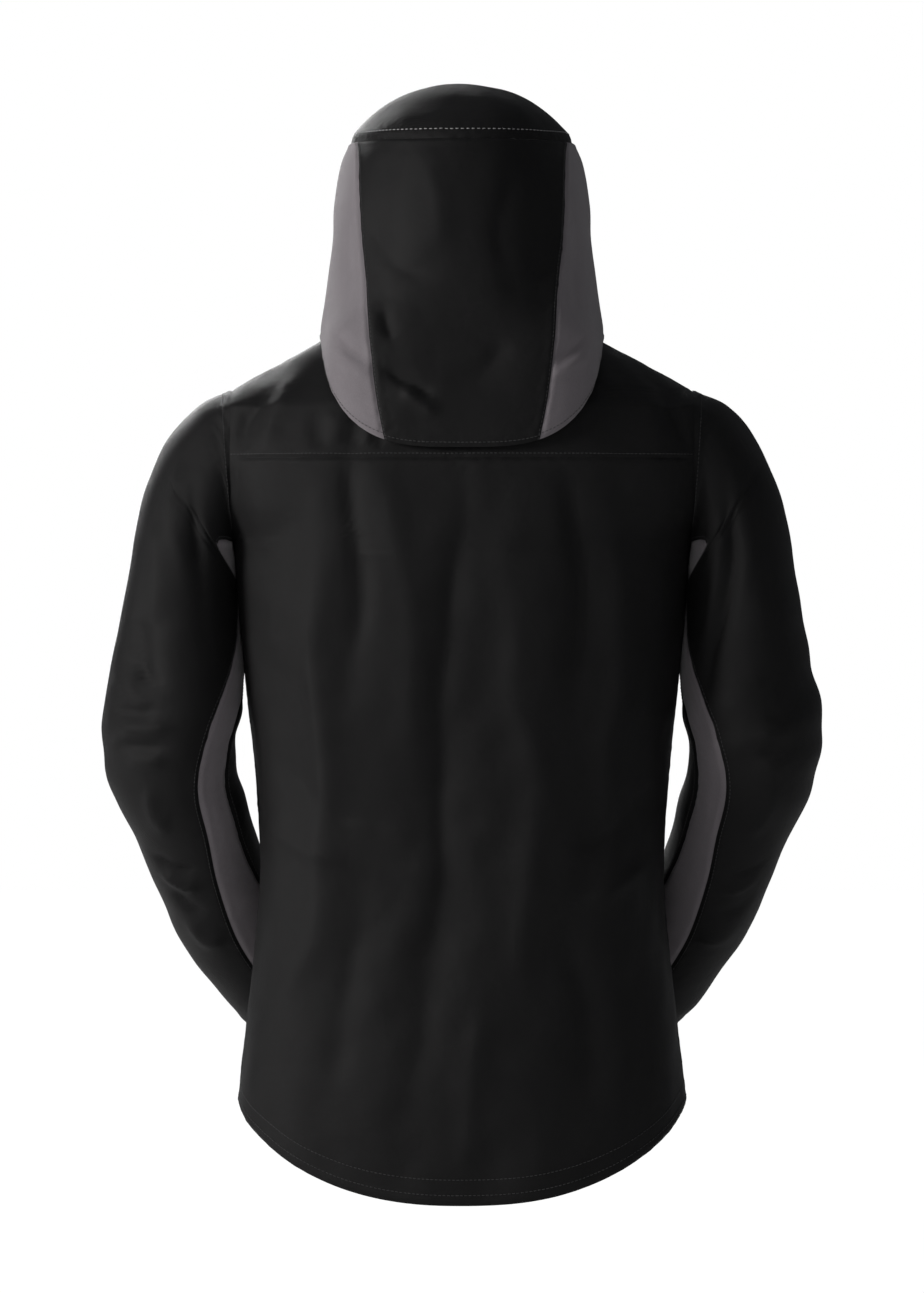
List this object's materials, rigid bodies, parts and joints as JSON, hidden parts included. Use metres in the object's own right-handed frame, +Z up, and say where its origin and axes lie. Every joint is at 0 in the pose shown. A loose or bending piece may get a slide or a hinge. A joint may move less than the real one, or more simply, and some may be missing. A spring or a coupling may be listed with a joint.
{
  "type": "hooded jacket",
  "caption": "Hooded zip-front shell jacket in a filled-out worn shape, with grey hood and underarm panels, cords, pockets and cuff tabs.",
  "frame": {"origin": "middle of the hanger loop's hole, inside the back of the neck", "axes": "+Z up along the body, +X the wearer's left, -Y the front of the jacket"},
  "size_m": [0.6686, 0.3488, 1.03],
  "materials": {
    "shell_fabric": "matte black woven shell with a faint sheen",
    "inset_fabric": "matte warm grey woven stretch panel",
    "lining_fabric": "matte dark grey brushed lining",
    "tape_and_cord": "black woven tape and braided cord",
    "trim_plastic": "black moulded plastic",
    "puller_rubber": "soft black moulded grip",
    "metal_parts": "satin black painted metal"
  },
  "bodies": {
    "torso": {"back_panel": "shell_fabric", "back_yoke": "shell_fabric", "left_front_panel": "shell_fabric", "right_front_panel": "shell_fabric", "left_collar": "shell_fabric", "right_collar": "shell_fabric", "hood_base_band": "lining_fabric", "hem_facing": "lining_fabric", "hem_drawcord": "tape_and_cord", "hem_cord_locks": "trim_plastic", "main_zip_tapes": "tape_and_cord", "main_zip_coils": "trim_plastic", "main_zip_end_stops": "metal_parts", "storm_flap": "shell_fabric", "chin_guard": "lining_fabric", "hanger_loop": "tape_and_cord", "neck_label": "lining_fabric", "pocket_bags": "lining_fabric", "left_pocket_zip": "tape_and_cord", "right_pocket_zip": "tape_and_cord", "chest_pocket_zip": "tape_and_cord", "hood_cord_locks": "trim_plastic", "hood_back_panel": "shell_fabric", "hood_left_panel": "inset_fabric", "hood_right_panel": "inset_fabric", "hood_crown": "shell_fabric", "hood_peak": "shell_fabric", "hood_drawcord": "tape_and_cord"},
    "left_upper_sleeve": {"left_sleeve_back": "shell_fabric", "left_sleeve_front": "shell_fabric", "left_sleeve_inset": "inset_fabric"},
    "left_forearm": {"left_forearm_back": "shell_fabric", "left_forearm_front": "shell_fabric", "left_forearm_inset": "inset_fabric", "left_cuff_band": "shell_fabric"},
    "left_cuff_tab": {"left_cuff_tab": "puller_rubber"},
    "right_upper_sleeve": {"right_sleeve_back": "shell_fabric", "right_sleeve_front": "shell_fabric", "right_sleeve_inset": "inset_fabric"},
    "right_forearm": {"right_forearm_back": "shell_fabric", "right_forearm_front": "shell_fabric", "right_forearm_inset": "inset_fabric", "right_cuff_band": "shell_fabric"},
    "right_cuff_tab": {"right_cuff_tab": "puller_rubber"},
    "main_zip_slider": {"main_zip_slider": "metal_parts"},
    "main_zip_puller": {"main_zip_puller": "puller_rubber"},
    "left_pocket_slider": {"left_pocket_slider": "metal_parts"},
    "left_pocket_puller": {"left_pocket_puller": "puller_rubber"},
    "right_pocket_slider": {"right_pocket_slider": "metal_parts"},
    "right_pocket_puller": {"right_pocket_puller": "puller_rubber"},
    "chest_pocket_slider": {"chest_pocket_slider": "metal_parts"},
    "chest_pocket_puller": {"chest_pocket_puller": "puller_rubber"},
    "hem_left_plunger": {"hem_left_plunger": "trim_plastic"},
    "hem_right_plunger": {"hem_right_plunger": "trim_plastic"},
    "hood_left_plunger": {"hood_left_plunger": "trim_plastic"},
    "hood_right_plunger": {"hood_right_plunger": "trim_plastic"}
  },
  "joints": [
    {"name": "left_shoulder_swing", "type": "hinge", "parent": "torso", "child": "left_upper_sleeve", "pos_m": [0.2146, -0.06, -0.131], "axis": [-1, 0, 0], "range_deg": [0, 35]},
    {"name": "left_elbow_bend", "type": "hinge", "parent": "left_upper_sleeve", "child": "left_forearm", "pos_m": [0.27, -0.058, -0.349], "axis": [-1, 0, 0], "range_deg": [0, 60]},
    {"name": "left_cuff_tab_lift", "type": "hinge", "parent": "left_forearm", "child": "left_cuff_tab", "pos_m": [0.19063, -0.25416, -0.61489], "axis": [0.4983, 0.4722, 0.7271], "range_deg": [0, 60]},
    {"name": "right_shoulder_swing", "type": "hinge", "parent": "torso", "child": "right_upper_sleeve", "pos_m": [-0.2146, -0.06, -0.131], "axis": [-1, 0, 0], "range_deg": [0, 35]},
    {"name": "right_elbow_bend", "type": "hinge", "parent": "right_upper_sleeve", "child": "right_forearm", "pos_m": [-0.27, -0.058, -0.349], "axis": [-1, 0, 0], "range_deg": [0, 60]},
    {"name": "right_cuff_tab_lift", "type": "hinge", "parent": "right_forearm", "child": "right_cuff_tab", "pos_m": [-0.19063, -0.25416, -0.61489], "axis": [0.4983, -0.4722, -0.7271], "range_deg": [0, 60]},
    {"name": "main_zip_slide", "type": "slide", "parent": "torso", "child": "main_zip_slider", "axis": [0, 0.018, 0.9998], "range_m": [-0.731, 0]},
    {"name": "main_zip_puller_swing", "type": "hinge", "parent": "main_zip_slider", "child": "main_zip_puller", "pos_m": [0, -0.18149, 0.02658], "axis": [-1, 0, 0], "range_deg": [0, 110]},
    {"name": "left_pocket_zip_slide", "type": "slide", "parent": "torso", "child": "left_pocket_slider", "axis": [-0.1903, -0.0429, 0.9808], "range_m": [-0.15, 0]},
    {"name": "left_pocket_puller_swing", "type": "hinge", "parent": "left_pocket_slider", "child": "left_pocket_puller", "pos_m": [0.10859, -0.18511, -0.46331], "axis": [-0.9053, -0.3788, -0.1922], "range_deg": [0, 110]},
    {"name": "right_pocket_zip_slide", "type": "slide", "parent": "torso", "child": "right_pocket_slider", "axis": [0.1903, -0.0429, 0.9808], "range_m": [-0.15, 0]},
    {"name": "right_pocket_puller_swing", "type": "hinge", "parent": "right_pocket_slider", "child": "right_pocket_puller", "pos_m": [-0.10859, -0.18511, -0.46331], "axis": [-0.9053, 0.3788, 0.1922], "range_deg": [0, 110]},
    {"name": "chest_pocket_zip_slide", "type": "slide", "parent": "torso", "child": "chest_pocket_slider", "axis": [-0.05, 0.0092, 0.9987], "range_m": [-0.102, 0]},
    {"name": "chest_pocket_puller_swing", "type": "hinge", "parent": "chest_pocket_slider", "child": "chest_pocket_puller", "pos_m": [0.09207, -0.18506, -0.17249], "axis": [-0.9772, -0.207, -0.047], "range_deg": [0, 110]},
    {"name": "hem_left_cord_lock_press", "type": "slide", "parent": "torso", "child": "hem_left_plunger", "axis": [0, 0, 1], "range_m": [0, 0.0035], "stiffness_N_per_m": 200},
    {"name": "hem_right_cord_lock_press", "type": "slide", "parent": "torso", "child": "hem_right_plunger", "axis": [0, 0, 1], "range_m": [0, 0.0035], "stiffness_N_per_m": 200},
    {"name": "hood_left_cord_lock_press", "type": "slide", "parent": "torso", "child": "hood_left_plunger", "axis": [0, 0, 1], "range_m": [0, 0.0035], "stiffness_N_per_m": 200},
    {"name": "hood_right_cord_lock_press", "type": "slide", "parent": "torso", "child": "hood_right_plunger", "axis": [0, 0, 1], "range_m": [0, 0.0035], "stiffness_N_per_m": 200}
  ]
}
